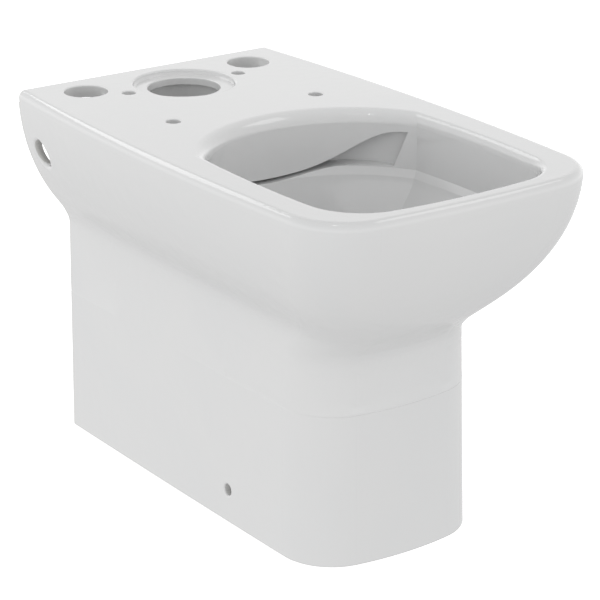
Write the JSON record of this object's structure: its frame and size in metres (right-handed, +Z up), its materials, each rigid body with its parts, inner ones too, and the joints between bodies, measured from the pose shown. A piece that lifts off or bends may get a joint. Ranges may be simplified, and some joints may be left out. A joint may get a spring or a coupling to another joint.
{
  "type": "close coupled toilet pan",
  "caption": "Back to wall toilet pan with squared rim, rimless bowl, flush inlet deck for a close coupled cistern, and open rear skirt with horizontal outlet.",
  "frame": {"origin": "on the floor, at the middle of the pan's width and of its length", "axes": "+X across the pan to the right when seen from its front, +Y towards the wall, +Z up"},
  "size_m": [0.3516, 0.5778, 0.4],
  "materials": {
    "glazed_china": "glossy white glaze over fired vitreous china",
    "bracket_nylon": "natural moulded nylon",
    "zinc_steel": "bright zinc plated steel"
  },
  "bodies": {
    "root": {"pan_shell": "glazed_china", "rim_deck": "glazed_china", "bowl": "glazed_china", "flush_curtain": "glazed_china", "flush_distributor": "glazed_china", "trapway": "glazed_china", "outlet_spigot": "glazed_china", "outlet_bridge": "glazed_china", "left_floor_bracket": "bracket_nylon", "right_floor_bracket": "bracket_nylon", "left_bracket_nut": "zinc_steel", "right_bracket_nut": "zinc_steel"}
  },
  "joints": []
}
